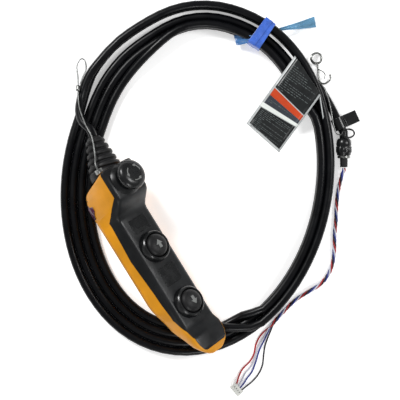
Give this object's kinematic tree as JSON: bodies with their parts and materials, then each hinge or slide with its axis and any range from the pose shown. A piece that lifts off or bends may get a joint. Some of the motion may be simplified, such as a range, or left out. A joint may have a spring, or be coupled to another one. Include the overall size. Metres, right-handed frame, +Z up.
{
  "type": "pendant control station",
  "caption": "Hand-held hoist pendant with two travel push buttons and a stop button, a ribbed cord boot, and its coiled control cable with gland and plug.",
  "frame": {"origin": "centre of the pendant's flat back face", "axes": "+Y along the pendant towards its cable end, +Z up, away from the table the set lies on; the pendant is rolled 40 degrees about Y, so its buttons face +X and +Z"},
  "size_m": [0.3451, 0.3741, 0.0743],
  "materials": {
    "yellow_shell": "fine moulded texture, satin",
    "black_shell": "fine moulded texture, satin",
    "black_rubber": "matt rubber",
    "cable_jacket": "satin PVC jacket",
    "steel": "zinc plated",
    "brass": "turned",
    "insulator": "moulded",
    "rating_plate": "printed film, blank",
    "connector_nylon": "natural nylon",
    "tag_card": "laminated card",
    "blue_tape": "translucent flat tape",
    "core_red": "PVC insulation",
    "core_blue": "PVC insulation",
    "core_white": "PVC insulation",
    "core_black": "PVC insulation"
  },
  "bodies": {
    "root": {"rear_shell": "yellow_shell", "front_shell": "black_shell", "stop_collar": "black_shell", "up_guard": "black_shell", "down_guard": "black_shell", "end_strap": "black_shell", "gland_body": "black_shell", "strap_loop": "black_shell", "shell_gasket": "black_rubber", "cord_boot": "black_rubber", "inlet_bush": "black_rubber", "core_sleeve": "black_rubber", "cable_stub": "cable_jacket", "cable_lead": "cable_jacket", "cable_coil": "cable_jacket", "cable_tail": "cable_jacket", "case_screw_1": "steel", "case_screw_2": "steel", "case_screw_3": "steel", "case_screw_4": "steel", "relief_anchor": "steel", "relief_line": "steel", "eye_ferrule": "steel", "eye_loop": "steel", "stop_spring": "steel", "up_spring": "steel", "down_spring": "steel", "split_ring": "steel", "relief_wire": "steel", "gland_washer": "steel", "contact_carrier": "insulator", "stop_contact_block": "insulator", "up_contact_block": "insulator", "down_contact_block": "insulator", "terminal_block": "insulator", "rear_plate": "rating_plate", "connector_housing": "connector_nylon", "tag": "tag_card", "tag_leaf": "tag_card", "coil_tie": "blue_tape", "tie_tail_inner": "blue_tape", "tie_tail_outer": "blue_tape", "core_red": "core_red", "inner_core_red": "core_red", "core_blue": "core_blue", "inner_core_blue": "core_blue", "core_white": "core_white", "inner_core_white": "core_white", "core_black": "core_black", "inner_core_black": "core_black", "core_bundle": "core_black"},
    "stop_plunger": {"stop_stem": "insulator"},
    "stop_head": {"stop_knob": "black_shell"},
    "up_key": {"up_button": "black_rubber", "up_plunger": "brass"},
    "down_key": {"down_button": "black_rubber", "down_plunger": "brass"},
    "hook": {"snap_hook": "steel"},
    "latch": {"hook_latch": "steel"}
  },
  "joints": [
    {"name": "stop_push", "type": "slide", "parent": "root", "child": "stop_plunger", "axis": [-0.6428, 0, -0.766], "range_m": [0, 0.004], "stiffness_N_per_m": 900, "springref_m": -0.004, "deforming": ["stop_spring"]},
    {"name": "stop_twist", "type": "hinge", "parent": "stop_plunger", "child": "stop_head", "pos_m": [0.03214, 0.072, 0.0383], "axis": [-0.6428, 0, -0.766], "range_deg": [0, 45], "stiffness_Nm_per_rad": 0.02},
    {"name": "up_push", "type": "slide", "parent": "root", "child": "up_key", "axis": [-0.6428, 0, -0.766], "range_m": [0, 0.003], "stiffness_N_per_m": 900, "springref_m": -0.003, "deforming": ["up_spring"]},
    {"name": "down_push", "type": "slide", "parent": "root", "child": "down_key", "axis": [-0.6428, 0, -0.766], "range_m": [0, 0.003], "stiffness_N_per_m": 900, "springref_m": -0.003, "deforming": ["down_spring"]},
    {"name": "hook_swing", "type": "hinge", "parent": "root", "child": "hook", "pos_m": [0.256, 0.076, -0.01461], "axis": [0, 0, 1], "range_deg": [0, 25]},
    {"name": "latch_open", "type": "hinge", "parent": "hook", "child": "latch", "pos_m": [0.2516, 0.0664, -0.01601], "axis": [0, 0, -1], "range_deg": [0, 30], "stiffness_Nm_per_rad": 0.001}
  ]
}
